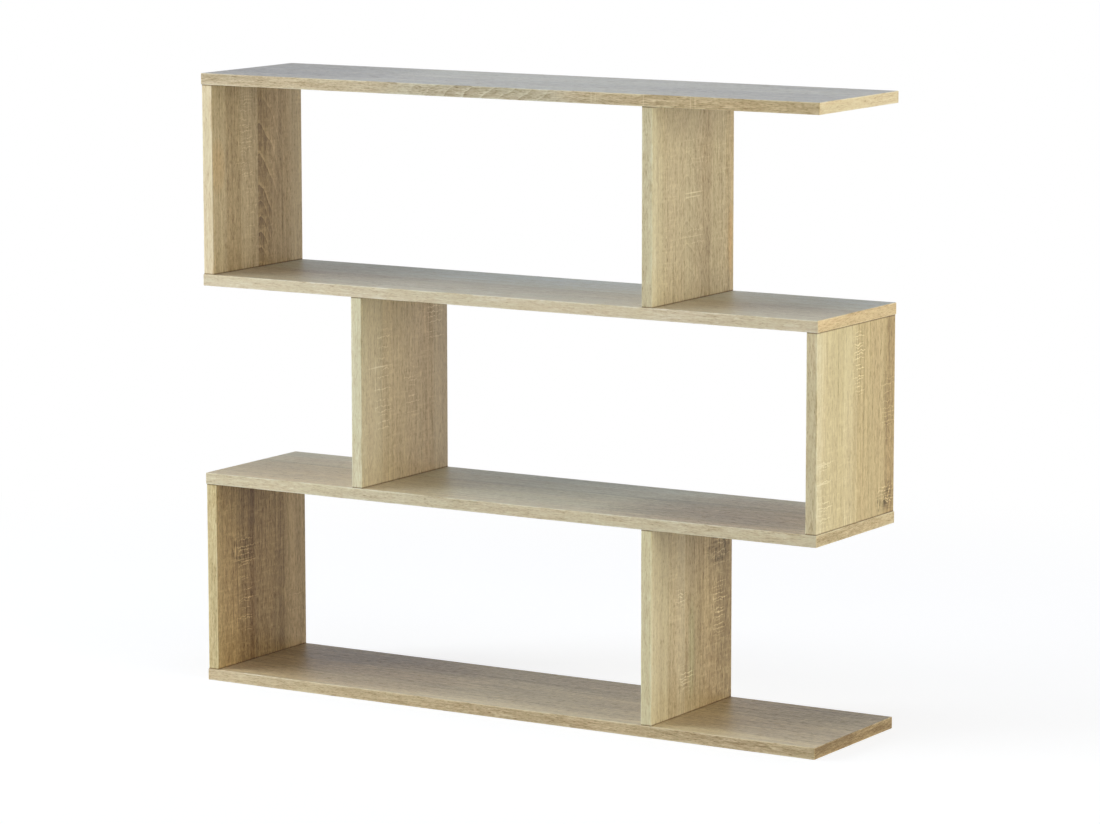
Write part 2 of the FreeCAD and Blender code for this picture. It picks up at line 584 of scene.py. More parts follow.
@dataclass(frozen=True)
class Grain:
    """How a print lies on a CAD node: its axes, and whether it starts at the high end of the grain."""

    node: str
    along: Axis
    across: Axis
    through: Axis
    from_high_end: bool = False

    def size(self, axis: Axis) -> float:
        """Size of the node along an axis, in metres."""
        low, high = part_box(self.node)
        return high[axis.value] - low[axis.value]

    def signals(self, graph: NodeGraph) -> tuple[Signal, Signal, Signal]:
        """Distances along, across and through the node from the corner where the print starts.

        Args:
            graph: The material's nodes.

        Returns:
            Three signals in metres.
        """
        low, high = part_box(self.node)
        place = graph.place()
        along, across, through = (
            place[axis.value] - low[axis.value] for axis in (self.along, self.across, self.through)
        )
        if self.from_high_end:
            along = high[self.along.value] - place[self.along.value]
        return along, across, through


@dataclass(frozen=True)
class OakPrint:
    """Pale sawn oak printed on a panel or strip, under a satin film, with painted contact shade at the
    uprights' ends and a painted highlight along the strips' arrises. Bands are ranges of noise.
    """

    shades: Stops
    drift: GrainLayer
    streak: GrainLayer
    fleck: GrainLayer
    fine: GrainLayer
    pores: GrainLayer
    rings: GrainLayer
    saw: GrainLayer
    mottle: GrainLayer
    blush: GrainLayer
    hair: GrainLayer
    warm: Colour = (1.10, 0.905, 0.70, 1.0)
    pink: Colour = (1.02, 0.945, 0.97, 1.0)
    knot: Colour = (0.42, 0.39, 0.32, 1.0)
    # Colour of the dark line at the uprights' ends: the raw board edge, with painted contact shade where
    # they meet the shelves.
    joint_edge_and_shade: Colour = (0.34, 0.27, 0.20, 1.0)
    core: Colour = srgb(176, 145, 104)
    core_chip: Colour = srgb(120, 92, 60)
    middle_tone: float = 0.5
    drift_warmth: float = 0.25
    busy_band: Band = (0.44, 0.62)
    busy_flecks: Band = (0.5, 1.1)
    busy_lines: Band = (1.25, 0.65)
    speck_band: Band = (0.53, 0.72)
    speck: float = 0.05
    hair_band: Band = (0.53, 0.63)
    hair_share: float = 0.25
    pore_band: Band = (0.56, 0.67)
    ring_count: float = 13.0
    ring_fade: float = 3.0
    ring_band: Band = (0.45, 0.62)
    cut_band: Band = (0.50, 0.62)
    worn_band: Band = (0.38, 0.56)
    worn_drift: Band = (0.42, 0.60)
    worn: float = 0.18
    flame_tone: float = 0.22
    knot_band: Band = (0.30, 0.62)
    knot_flecks: Band = (0.44, 0.58)
    knot_cuts: float = 0.7
    joint_edge_and_shade_width: float = 2.4 * MM
    joint_edge_and_shade_strength: float = 1.25
    # A paler line along the strips' long arrises is a painted highlight.
    highlight_rim_width: float = 2.0 * MM
    highlight_rim_band: Band = (0.34, 0.56)
    highlight_rim_tone: float = 0.0
    film_thickness: float = 0.35 * MM
    chip_band: Band = (0.3, 0.7)
    roughness: float = 0.42
    pore_roughness: float = 0.10
    streak_roughness: float = 0.10
    core_roughness: float = 0.5
    specular: float = 0.30
    fine_relief: float = 0.5
    fleck_relief: float = 0.3
    pore_relief: float = 0.7
    hair_relief: float = 0.4
    bump: Bump = Bump(0.35, 0.06 * MM)
    two_faced: bool = True
    face_seed: float = 5.0
    depth_seed: float = 40.0

    def material(self, name: str, grain: Grain, figure: Figure) -> bpy.types.Material:
        """Make the print for one panel or strip, with its painted shade and highlight.

        Args:
            name: Name of the material.
            grain: How the print lies on the piece.
            figure: What the print shows there.

        Returns:
            The material.
        """
        made, graph = new_material(name)
        run, across, through = grain.signals(graph)
        along, turn = run, through * self.depth_seed
        half = grain.size(grain.through) / 2
        if self.two_faced:
            # The far face has the same print, run the other way.
            near = through.beyond(half)
            along = run * near + (grain.size(grain.along) - run) * (1.0 - near)
            turn = near * self.face_seed
        ground = self._ground(graph, along, across, turn + figure.seed)
        cuts = ground.saw.rise(self.cut_band)
        pores = ground.pores.rise(self.pore_band)
        tone = self._tone(figure, ground, cuts) - pores * self.pores.strength
        # Paler print along the long arrises: a painted highlight.
        if self.highlight_rim_tone:
            rim = (1.0 - across.least(grain.size(grain.across) - across) / self.highlight_rim_width).clipped()
            tone = tone + rim * ground.streak.rise(self.highlight_rim_band) * self.highlight_rim_tone
        colour = self._colour(graph, figure, ground, tone, cuts)
        # A dark line at the uprights' ends: partly the raw board edge, partly painted contact shade against
        # the shelves.
        if grain.along is Axis.Z:
            end = run.least(grain.size(Axis.Z) - run)
            line = (1.0 - end / self.joint_edge_and_shade_width).clipped() * self.joint_edge_and_shade_strength
            colour = graph.mix(line, colour, self.joint_edge_and_shade, Blend.STAIN)
        roughness = self.roughness + pores * self.pore_roughness
        roughness = roughness + ground.streak.centred() * self.streak_roughness
        if self.two_faced:
            # The core shows in the holes, under the film.
            cut_open = (half - abs(through - half)).beyond(self.film_thickness)
            chips = graph.mix(ground.mottle.rise(self.chip_band), self.core, self.core_chip)
            colour = graph.mix(cut_open, colour, chips)
            roughness = roughness + cut_open * self.core_roughness
        relief = ground.fine * self.fine_relief + ground.fleck * self.fleck_relief
        relief = relief - pores * self.pore_relief - ground.hair.rise(self.hair_band) * self.hair_relief
        sockets = {"Base Color": colour, "Roughness": roughness, "Specular IOR Level": self.specular}
        graph.surface(sockets, relief, self.bump)
        return made

    def _ground(self, graph: NodeGraph, along: Signal, across: Signal, seed: Signal) -> Ground:
        """Make the noise that the print is drawn on.

        Args:
            graph: The material's nodes.
            along: Distance along the grain in metres.
            across: Distance across the grain in metres.
            seed: What makes one face's noise differ from another's.

        Returns:
            The ground, with the layers in its own order.
        """
        point = graph.vector(along, across, seed)
        layers = (
            self.drift, self.streak, self.fleck, self.fine, self.pores,
            self.rings, self.saw, self.mottle, self.blush, self.hair,
        )
        return Ground(along / MM, across / MM, *(graph.grain_noise(point, layer) for layer in layers))

    def _tone(self, figure: Figure, ground: Ground, cuts: Signal) -> Signal:
        """How light the print is, from zero to one, with painted shade in some staves and dark patches.

        Args:
            figure: What the print shows.
            ground: What it is drawn on.
            cuts: Saw cuts all over the panel.

        Returns:
            The tone, before the pores.
        """
        tone = ground.drift.centred() * self.drift.strength + self.middle_tone
        tone = tone + figure.stepped(ground.across, [stave.tone for stave in figure.staves])
        busy = ground.blush.rise(self.busy_band)
        flecks = ground.fleck.centred() * self.fleck.strength
        flecks = flecks + ground.fleck.rise(self.speck_band) * self.speck
        tone = tone + flecks * busy.spread(self.busy_flecks)
        tone = tone + (self.hair_share - ground.hair.rise(self.hair_band)) * self.hair.strength
        tone = tone + ground.streak.centred() * self.streak.strength
        tone = tone + ground.fine.centred() * busy.spread(self.busy_lines) * self.fine.strength
        contour = (1.0 - (ground.rings * self.ring_count).fraction()) ** self.ring_fade
        tone = tone - contour * ground.drift.rise(self.ring_band) * self.rings.strength
        worn = cuts * ground.mottle.rise(self.worn_band) * ground.drift.rise(self.worn_drift)
        tone = tone + worn * (self.saw.strength * self.worn)
        tone = tone + total(figure.saw_marks + figure.scratches, ground) * self.saw.strength
        # Dark patches are partly the print and partly painted shade, as at the shelves' ends.
        tone = tone - total(figure.dark_print_and_shade_patches, ground)
        return tone - total(figure.flames, ground) * self.flame_tone

    def _colour(
        self, graph: NodeGraph, figure: Figure, ground: Ground, tone: Signal, cuts: Signal
    ) -> Signal:
        """Colour the print by its tone, and stain it; some of the staves' and patches' tints are painted
        bounce light and sheen.

        Args:
            graph: The material's nodes.
            figure: What the print shows.
            ground: What it is drawn on.
            tone: How light the print is.
            cuts: Saw cuts all over the panel, which knots leave bare.

        Returns:
            The colour of the printed film.
        """
        warmth = ground.drift.centred() * self.drift_warmth + total(figure.warm_patches, ground)
        warmth = warmth + figure.stepped(ground.across, [stave.warmth for stave in figure.staves])
        blush = ground.blush.centred() * self.blush.strength - total(figure.olive_patches, ground)
        blush = blush + figure.stepped(ground.across, [stave.blush for stave in figure.staves])
        colour = graph.add("ShaderNodeValToRGB", {"stops": self.shades}, {"Fac": tone}, "Color")
        colour = graph.mix(warmth, colour, self.warm, Blend.STAIN)
        colour = graph.mix(blush, colour, self.pink, Blend.STAIN)
        for knot in figure.knots:
            strokes = ground.mottle.rise(self.knot_band) * (1.0 - ground.fleck.rise(self.knot_flecks))
            share = knot.mask(ground) * strokes * (1.0 - cuts * self.knot_cuts)
            colour = graph.mix(share, colour, self.knot, Blend.STAIN)
        return colour


@dataclass(frozen=True)
class CastZinc:
    """Dull grey cast zinc with fine pits."""

    pale: Colour = srgb(176, 178, 180)
    dark: Colour = srgb(140, 142, 145)
    skin: GrainLayer = GrainLayer(420.0, 420.0, 0.6, 3.0, 0.6, 0.0, 2.0)
    skin_band: Band = (0.3, 0.7)
    skin_roughness: float = 0.3
    pits: GrainLayer = GrainLayer(2600.0, 2600.0, detail=1.0, shift=5.0)
    pit_band: Band = (0.58, 0.72)
    roughness: float = 0.38
    bump: Bump = Bump(0.4, 0.05 * MM)

    def material(self, name: str) -> bpy.types.Material:
        """Make the metal, with a mottled skin and pits.

        Args:
            name: Name of the material.

        Returns:
            The material.
        """
        made, graph = new_material(name)
        across, depth, height = graph.place()
        point = graph.vector(height, depth, across)
        skin = graph.grain_noise(point, self.skin)
        pits = graph.grain_noise(point, self.pits).rise(self.pit_band)
        colour = graph.mix(skin.rise(self.skin_band), self.pale, self.dark)
        roughness = self.roughness + skin.centred() * self.skin_roughness
        relief = skin * self.skin.strength - pits
        graph.surface({"Base Color": colour, "Metallic": 1.0, "Roughness": roughness}, relief, self.bump)
        return made


@dataclass(frozen=True)
class PlatedSteel:
    """Bright plated steel with turning marks round each bolt."""

    bright: Colour = srgb(205, 206, 204)
    stained: Colour = srgb(168, 164, 148)
    stain: GrainLayer = GrainLayer(160.0, 160.0, detail=3.0, roughness=0.6, shift=2.0)
    stain_band: Band = (0.45, 0.75)
    stain_roughness: float = 0.12
    marks: GrainLayer = GrainLayer(5200.0, 1.0, roughness=0.6, shift=5.0)
    mark_roughness: float = 0.2
    roughness: float = 0.26
    bump: Bump = Bump(0.3, 0.02 * MM)

    def material(self, name: str) -> bpy.types.Material:
        """Make the metal, with turning marks across the bolt's length.

        Args:
            name: Name of the material.

        Returns:
            The material.
        """
        made, graph = new_material(name)
        height = graph.place()[Axis.Z.value]
        stain = graph.grain_noise(graph.point(), self.stain).rise(self.stain_band)
        marks = graph.grain_noise(graph.vector(height, 0.0, 0.0), self.marks)
        colour = graph.mix(stain, self.bright, self.stained)
        roughness = self.roughness + marks.centred() * self.mark_roughness + stain * self.stain_roughness
        graph.surface({"Base Color": colour, "Metallic": 1.0, "Roughness": roughness}, marks, self.bump)
        return made


@dataclass(frozen=True)
class TurnedBeech:
    """Bare beech with short dark flecks along the dowel."""

    pale: Colour = srgb(219, 186, 143)
    dark: Colour = srgb(188, 150, 108)
    fleck: Colour = (0.62, 0.50, 0.38, 1.0)
    streak: GrainLayer = GrainLayer(40.0, 900.0, roughness=0.6, shift=3.0)
    streak_band: Band = (0.3, 0.7)
    flecks: GrainLayer = GrainLayer(500.0, 2400.0, 0.6, 1.0, 0.5, 0.0, 9.0)
    fleck_band: Band = (0.60, 0.70)
    fleck_roughness: float = 0.15
    roughness: float = 0.62
    bump: Bump = Bump(0.4, 0.08 * MM)

    def material(self, name: str) -> bpy.types.Material:
        """Make the wood, with its grain along the dowel.

        Args:
            name: Name of the material.

        Returns:
            The material.
        """
        made, graph = new_material(name)
        across, depth, height = graph.place()
        point = graph.vector(height, across, depth * self.streak.across)
        streak = graph.grain_noise(point, self.streak)
        flecks = graph.grain_noise(point, self.flecks).rise(self.fleck_band)
        colour = graph.mix(streak.rise(self.streak_band), self.pale, self.dark)
        colour = graph.mix(flecks, colour, self.fleck, Blend.STAIN)
        roughness = self.roughness + flecks * self.fleck_roughness
        relief = streak - flecks * self.flecks.strength
        graph.surface({"Base Color": colour, "Roughness": roughness}, relief, self.bump)
        return made


OAK = OakPrint(
    shades=(
        (0.00, srgb(108, 87, 62)),
        (0.25, srgb(163, 143, 110)),
        (0.50, srgb(203, 186, 150)),
        (0.75, srgb(226, 212, 175)),
        (1.00, srgb(243, 232, 204)),
    ),
    drift=GrainLayer(1.7, 10.0, 0.20),
    streak=GrainLayer(2.6, 92.0, 0.20, 3.0, 0.6, 0.0, 3.1),
    fleck=GrainLayer(60.0, 285.0, 0.22, 1.0, 0.5, 0.0, 5.3),
    fine=GrainLayer(7.0, 285.0, 0.50, 2.0, 0.6, 0.0, 7.7),
    pores=GrainLayer(64.0, 280.0, 0.09, 1.0, 0.5, 0.0, 11.3),
    rings=GrainLayer(1.2, 8.5, 0.07, 1.0, 0.4, 0.0, 17.9),
    saw=GrainLayer(230.0, 24.0, 0.50, 2.0, 0.5, 0.4, 23.5),
    mottle=GrainLayer(60.0, 90.0, 0.0, 2.0, 0.6, 0.0, 29.1),
    blush=GrainLayer(2.6, 24.0, 1.0, 2.0, 0.5, 0.0, 37.7),
    hair=GrainLayer(140.0, 1300.0, 0.20, 1.0, 0.5, 0.0, 41.9),
)
SMOOTH_OAK = replace(OAK, roughness=0.30)
BAND = OakPrint(
    shades=(
        (0.00, srgb(136, 112, 78)),
        (0.25, srgb(186, 164, 128)),
        (0.50, srgb(221, 203, 168)),
        (0.75, srgb(235, 223, 191)),
        (1.00, srgb(247, 239, 216)),
    ),
    drift=GrainLayer(4.0, 40.0, 0.30),
    streak=GrainLayer(14.0, 150.0, 0.34, 3.0, 0.6, 0.5, 3.1),
    fleck=GrainLayer(44.0, 330.0, 0.60, 1.0, 0.5, 1.2, 5.3),
    fine=GrainLayer(45.0, 700.0, 0.26, 2.0, 0.6, 0.0, 7.7),
    pores=GrainLayer(110.0, 800.0, 0.14, 1.0, 0.5, 0.0, 11.3),
    rings=GrainLayer(3.0, 60.0, 0.10, 1.0, 0.4, 0.0, 17.9),
    saw=GrainLayer(230.0, 30.0, 0.26, 2.0, 0.5, 0.4, 23.5),
    mottle=GrainLayer(70.0, 120.0, 0.0, 2.0, 0.6, 0.0, 29.1),
    blush=GrainLayer(9.0, 60.0, 1.0, 2.0, 0.5, 0.0, 37.7),
    hair=GrainLayer(160.0, 1500.0, 0.16, 1.0, 0.5, 0.0, 41.9),
    drift_warmth=0.45,
    flame_tone=0.26,
    highlight_rim_tone=0.40,
    roughness=0.36,
    specular=0.08,
    two_faced=False,
)
PLAIN_STRIP = Stave(0.0, 0.02, 0.06)


def dress(node: bpy.types.Object, material: bpy.types.Material) -> None:
    """Put one material on a node and report it.

    Args:
        node: The piece to dress.
        material: Its finish.
    """
    if not node.data.materials:
        node.data.materials.append(material)
    for slot in node.material_slots:
        slot.material = material
    LOG.info("%s: %s", node.name, material.name)


@dataclass
class ShelfPanel:
    """A long shelf: its board and the four strips round its edges."""

    name: str
    figure: Figure
    front: Figure
    right: Stave
    finish: OakPrint = OAK
    seed_step: float = 2.3

    def dress(self, nodes: dict[str, bpy.types.Object]) -> None:
        """Give the board and its strips their prints.

        Args:
            nodes: The CAD nodes by name.
        """
        board = f"{self.name}_board"
        grain = Grain(board, Axis.X, Axis.Y, Axis.Z)
        dress(nodes[board], self.finish.material(f"{board}_print", grain, self.figure))
        for turn, side in enumerate(Side):
            strip = f"{self.name}_{side.value}_edging"
            along, through = (Axis.X, Axis.Y) if side in (Side.FRONT, Side.REAR) else (Axis.Y, Axis.X)
            stave = self.right if side is Side.RIGHT else PLAIN_STRIP
            plain = Figure(self.front.seed + self.seed_step * turn, (stave,))
            figure = self.front if side is Side.FRONT else plain
            grain = Grain(strip, along, Axis.Z, through)
            dress(nodes[strip], BAND.material(f"{strip}_print", grain, figure))


@dataclass
class UprightPanel:
    """An upright between two shelves: its board, two strips, and the fittings in its ends."""

    name: str
    figure: Figure
    front: Figure
    rear_seed_step: float = 4.1
    pointer_radius: float = 1.3 * MM
    pointer_taper: float = 0.8
    pointer_height: float = 0.22 * MM
    pointer_bevel: float = 0.05 * MM
    pointer_from_middle: float = 5.6 * MM
    cam_from_end: float = 34 * MM
    cam_from_edge: float = 45 * MM

    def dress(
        self, nodes: dict[str, bpy.types.Object], finishes: dict[Fitting, bpy.types.Material]
    ) -> None:
        """Give the board, its strips and its fittings their finishes.

        Args:
            nodes: The CAD nodes by name.
            finishes: The finish of each kind of fitting.
        """
        board = f"{self.name}_board"
        grain = Grain(board, Axis.Z, Axis.Y, Axis.X, True)
        dress(nodes[board], OAK.material(f"{board}_print", grain, self.figure))
        rear = Figure(self.front.seed + self.rear_seed_step, (PLAIN_STRIP,))
        for side, figure in ((Side.FRONT, self.front), (Side.REAR, rear)):
            strip = f"{self.name}_{side.value}_edging"
            grain = Grain(strip, Axis.Z, Axis.X, Axis.Y, True)
            dress(nodes[strip], BAND.material(f"{strip}_print", grain, figure))
        for fitting, finish in finishes.items():
            dress(nodes[f"{self.name}_{fitting.value}"], finish)

    def build_pointers(self, zinc: bpy.types.Material) -> bpy.types.Object:
        """Build the raised pointers on the faces of the four cams.

        Args:
            zinc: The finish of the cams.

        Returns:
            One piece with the four pointers.
        """
        low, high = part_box(f"{self.name}_board")
        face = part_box(f"{self.name}_cams")[0].x
        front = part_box(f"{self.name}_front_edging")[0].y
        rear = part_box(f"{self.name}_rear_edging")[1].y
        shape = bmesh.new()
        for depth in (front + self.cam_from_edge, rear - self.cam_from_edge):
            for height, way in ((low.z + self.cam_from_end, -1), (high.z - self.cam_from_end, 1)):
                turn = Matrix.Rotation(-QUARTER_TURN, 4, "Y") @ Matrix.Rotation(-QUARTER_TURN * way, 4, "Z")
                spot = Matrix.Translation((face, depth, height + way * self.pointer_from_middle))
                self._add_pointer(shape, spot @ turn)
        mesh = bpy.data.meshes.new(f"{self.name}_cam_pointers")
        shape.to_mesh(mesh)
        shape.free()
        piece = bpy.data.objects.new(mesh.name, mesh)
        bpy.context.scene.collection.objects.link(piece)
        dress(piece, zinc)
        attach(piece, "root")
        return piece

    def _add_pointer(self, shape: bmesh.types.BMesh, place: Matrix) -> None:
        """Add one three-sided pointer with softened arrises.

        Args:
            shape: The mesh that takes it.
            place: Where it sits, with its point along Y and its top along Z.
        """
        made = bmesh.ops.create_cone(
            shape,
            cap_ends=True,
            segments=3,
            radius1=self.pointer_radius,
            radius2=self.pointer_radius * self.pointer_taper,
            depth=self.pointer_height,
            matrix=place,
        )
        edges = {edge for vert in made["verts"] for edge in vert.link_edges}
        bmesh.ops.bevel(
            shape,
            geom=list(edges),
            offset=self.pointer_bevel,
            offset_type="OFFSET",
            segments=2,
            profile=0.5,
            affect="EDGES",
            material=-1,
        )


@dataclass(frozen=True)
class SoftLamp:
    """A square lamp that is aimed at the middle of the bookshelf, in metres and watts."""

    name: str
    place: Point
    side: float
    power: float
    colour: Point
    aim: Point = (0.0, 0.0, 0.5)

    def build(self) -> bpy.types.Object:
        """Add the lamp to the scene.

        Returns:
            The lamp, which lights the object but isn't seen.
        """
        light = bpy.data.lights.new(self.name, "AREA")
        light.shape = "SQUARE"
        light.size = self.side
        light.energy = self.power
        light.color = self.colour
        lamp = bpy.data.objects.new(self.name, light)
        lamp.location = self.place
        lamp.rotation_euler = (Vector(self.aim) - Vector(self.place)).to_track_quat("-Z", "Y").to_euler()
        lamp.visible_camera = False
        lamp.visible_glossy = False
        bpy.context.scene.collection.objects.link(lamp)
        return lamp


@dataclass
class Studio:
    """Camera, lamps, world and floor, in metres, millimetres of film and degrees."""

    camera_place: Point = (3.6256, -5.8882, 1.5145)
    camera_aim: Point = (0.0141, 0.0031, 0.4612)
    camera_roll: float = -0.067
    camera_reach: float = 100.0
    lens: float = 147.90
    sensor: float = 36.0
    lamps: tuple[SoftLamp, ...] = (
        SoftLamp("left_lamp", (-4.2, -2.4, 1.6), 2.4, 205.0, (0.87, 0.94, 1.0)),
        SoftLamp("right_lamp", (3.6, -0.6, 0.95), 1.6, 50.0, (1.0, 0.98, 0.74)),
        SoftLamp("right_rear_lamp", (2.6, 3.4, 1.4), 2.4, 27.0, (1.0, 0.85, 0.95)),
        SoftLamp("rear_lamp", (-1.0, 4.6, 1.5), 2.4, 30.0, (0.86, 0.93, 1.0)),
        SoftLamp("top_lamp", (0.4, -0.6, 4.2), 2.4, 47.0, (0.72, 0.80, 1.0)),
    )
    ambient: float = 0.5
    ambient_low: Colour = WHITE
    ambient_high: Colour = (0.04, 0.05, 0.06, 1.0)
    ambient_band: Band = (0.0, 0.8)
    sky: Stops = (
        (0.00, WHITE),
        (0.02, (0.70, 0.80, 1.0, 1.0)),
        (0.17, (0.70, 0.80, 1.0, 1.0)),
        (0.30, (0.80, 0.86, 0.90, 1.0)),
    )
    floor_side: float = 16.0
    floor_drop: float = 0.4 * MM
    floor_lit: Colour = (0.60, 0.60, 0.60, 1.0)
    floor_shaded: Colour = (0.34, 0.34, 0.34, 1.0)
    floor_glow: float = 0.78
    floor_fade: Band = (1.0, 2.2)

    def build(self) -> None:
        """Build the whole studio and report it."""
        LOG.info("camera %s", self.build_camera().name)
        for lamp in self.lamps:
            LOG.info("lamp %s", lamp.build().name)
        LOG.info("world %s", self.build_world().name)
        LOG.info("floor %s", self.build_floor().name)
        bpy.context.scene.view_settings.view_transform = "Standard"

    def build_camera(self) -> bpy.types.Object:
        """Add the camera at the photograph's viewing angle.

        Returns:
            The camera.
        """
        lens = bpy.data.cameras.new("camera")
        lens.sensor_fit = "HORIZONTAL"
        lens.sensor_width = self.sensor
        lens.lens = self.lens
        lens.clip_end = self.camera_reach
        camera = bpy.data.objects.new("camera", lens)
        look = (Vector(self.camera_aim) - Vector(self.camera_place)).to_track_quat("-Z", "Y")
        roll = Matrix.Rotation(math.radians(self.camera_roll), 4, "Z")
        camera.matrix_world = Matrix.Translation(self.camera_place) @ look.to_matrix().to_4x4() @ roll
        bpy.context.scene.collection.objects.link(camera)
        bpy.context.scene.camera = camera
        return camera

    def white_share(self, graph: NodeGraph) -> Signal:
        """One for rays that see the white surround: from the camera, a reflection or through glass."""
        camera = graph.add("ShaderNodeLightPath", output="Is Camera Ray")
        return (camera + camera.twin("Is Glossy Ray") + camera.twin("Is Transmission Ray")).least(1.0)

    def build_world(self) -> bpy.types.World:
        """Add the world.

        Returns:
            The world, which gives the object soft light and looks white.
        """
        world = bpy.data.worlds.new("studio")
        bpy.context.scene.world = world
        world.use_nodes = True
        graph = NodeGraph(world.node_tree)
        way = graph.add("ShaderNodeTexCoord", output="Generated")
        height = graph.add("ShaderNodeSeparateXYZ", {}, {"Vector": way}, "Z")
        glow = graph.mix(height.rise(self.ambient_band), self.ambient_low, self.ambient_high)
        light = graph.add("ShaderNodeBackground", {}, {"Color": glow, "Strength": self.ambient})
        pale = graph.add("ShaderNodeValToRGB", {"stops": self.sky}, {"Fac": height}, "Color")
        white = graph.add("ShaderNodeBackground", {}, {"Color": pale, "Strength": 1.0})
        mixed = graph.add("ShaderNodeMixShader", {}, {0: self.white_share(graph), 1: light, 2: white})
        graph.add("ShaderNodeOutputWorld", {}, {"Surface": mixed})
        return world

    def build_floor(self) -> bpy.types.Object:
        """Add the floor.

        Returns:
            The floor, a little below the object.
        """
        shape = bmesh.new()
        bmesh.ops.create_grid(shape, x_segments=1, y_segments=1, size=self.floor_side / 2)
        bmesh.ops.translate(shape, verts=shape.verts, vec=(0.0, 0.0, -self.floor_drop))
        mesh = bpy.data.meshes.new("floor")
        shape.to_mesh(mesh)
        shape.free()
        floor = bpy.data.objects.new("floor", mesh)
        bpy.context.scene.collection.objects.link(floor)
        mesh.materials.append(self._paper())
        return floor

    def _paper(self) -> bpy.types.Material:
        """Make the floor's paper, which looks white but keeps the object's shadow.

        Returns:
            The material, with no shadow far from the object.
        """
        paper, graph = new_material("white_paper")
        across, depth, _ = graph.place()
        away = (across * across + depth * depth) ** 0.5
        lit = graph.add("ShaderNodeBsdfDiffuse", {}, {"Color": self.floor_lit})
        soft = graph.add("ShaderNodeBsdfDiffuse", {}, {"Color": self.floor_shaded})
        glow = graph.add("ShaderNodeEmission", {}, {"Color": WHITE, "Strength": self.floor_glow})
        shaded = graph.add("ShaderNodeAddShader", {}, {0: glow, 1: soft})
        white = graph.add("ShaderNodeEmission", {}, {"Color": WHITE, "Strength": 1.0})
        seen = graph.add("ShaderNodeMixShader", {}, {0: away.rise(self.floor_fade), 1: shaded, 2: white})
        mixed = graph.add("ShaderNodeMixShader", {}, {0: self.white_share(graph), 1: lit, 2: seen})
        graph.add("ShaderNodeOutputMaterial", {}, {"Surface": mixed})
        return paper


BOTTOM_SHELF = Figure(
    1.7,
    (
        Stave(0, 0.13, 0.28), Stave(26, -0.04, 0.18, 0, 24), Stave(80, -0.10, 0.13, 0, 8),
        Stave(90, -0.06, 0.18, 0, 8), Stave(150, -0.14, 0.13, 0, 30), Stave(175, -0.21, 0.13, 0, 8),
        Stave(186, -0.17, 0.13, 0, 8),
    ),
    warm_patches=(Patch(120, 200, 190, 260, 0.25),),
    dark_print_and_shade_patches=(Patch(120, 200, 170, 220, 0.09), Patch(120, 1010, 170, 220, 0.04)),
)
# On the lower and upper shelves the staves grow cooler and pinker towards the rear: partly the print,
# partly a painted grey-blue sheen of the tops.
LOWER_SHELF = Figure(
    3.9,
    (
        Stave(0, 0.14, 0.22), Stave(24, 0.08, 0.07, 0.1, 30), Stave(100, 0.06, -0.08, 0.2, 20),
        Stave(148, 0.01, -0.3, 0.3, 6), Stave(160, 0.10, -0.35, 0.4, 12), Stave(205, 0.12, -0.6, 0.6, 20),
    ),
    warm_patches=(
        Patch(130, 60, 220, 240, 0.25), Patch(130, 560, 220, 300, -0.33), Patch(130, 1010, 220, 240, 0.25),
    ),
    # This dark patch towards the right end, in front of the middle side, is painted shade.
    dark_print_and_shade_patches=(Patch(70, 930, 190, 240, 0.26),),
)
UPPER_SHELF = Figure(
    6.2,
    (
        Stave(0, 0.19, -0.1, 0.3), Stave(24, 0.13, -0.25, 0.5, 30), Stave(100, 0.09, -0.4, 0.8, 20),
        Stave(132, 0.22, -0.7, 0.9, 20), Stave(165, 0.30, -0.85, 1.0, 20), Stave(205, 0.34, -0.95, 1.0, 20),
    ),
    warm_patches=(Patch(130, 500, 220, 360, -0.28),),
    dark_print_and_shade_patches=(Patch(125, 90, 240, 260, 0.14), Patch(125, 560, 240, 360, -0.02)),
    olive_patches=(Patch(130, 500, 220, 360, -0.3),),
)
# The top shelf's grey, pink staves are partly the print and partly a painted grey-blue sheen.
TOP_SHELF = Figure(
    8.4,
    (
        Stave(0, -0.02, -0.3, 0.3), Stave(58, -0.07, -0.3, 0.3), Stave(122, 0.0, -0.3, 0.25),
        Stave(204, -0.04, -0.3, 0.3),
    ),
    # The dark patches at its two ends are painted shade.
    dark_print_and_shade_patches=(Patch(125, 20, 260, 300, 0.24), Patch(125, 1010, 260, 260, 0.07)),
)
BOTTOM_STRIP = Figure(31.0, (Stave(0, -0.11, 0.25, -0.1),), dark_print_and_shade_patches=(Patch(11, 40, 60, 240, -0.14),))
LOWER_STRIP = Figure(33.0, (Stave(0, 0.06),))
UPPER_STRIP = Figure(36.0, (Stave(0, 0.16, 0.05, 0.2),))
TOP_STRIP = Figure(
    38.0,
    (Stave(0, -0.06, -0.33, 0.2),),
    warm_patches=(Patch(11, 120, 40, 260, 0.4), Patch(11, 980, 40, 330, 0.75)),
    dark_print_and_shade_patches=(Patch(11, 960, 60, 300, 0.05),),
    olive_patches=(Patch(11, 980, 60, 330, 0.6),),
    scratches=(
        Scratch(9, 715, 12), Scratch(9, 722, 9), Scratch(9, 805, 12),
        Scratch(9, 885, 14), Scratch(9, 893, 10),
    ),
    flames=(Flame(1, 385, 22, 34, 34, 280, 0.65, fade=1.6),),
)
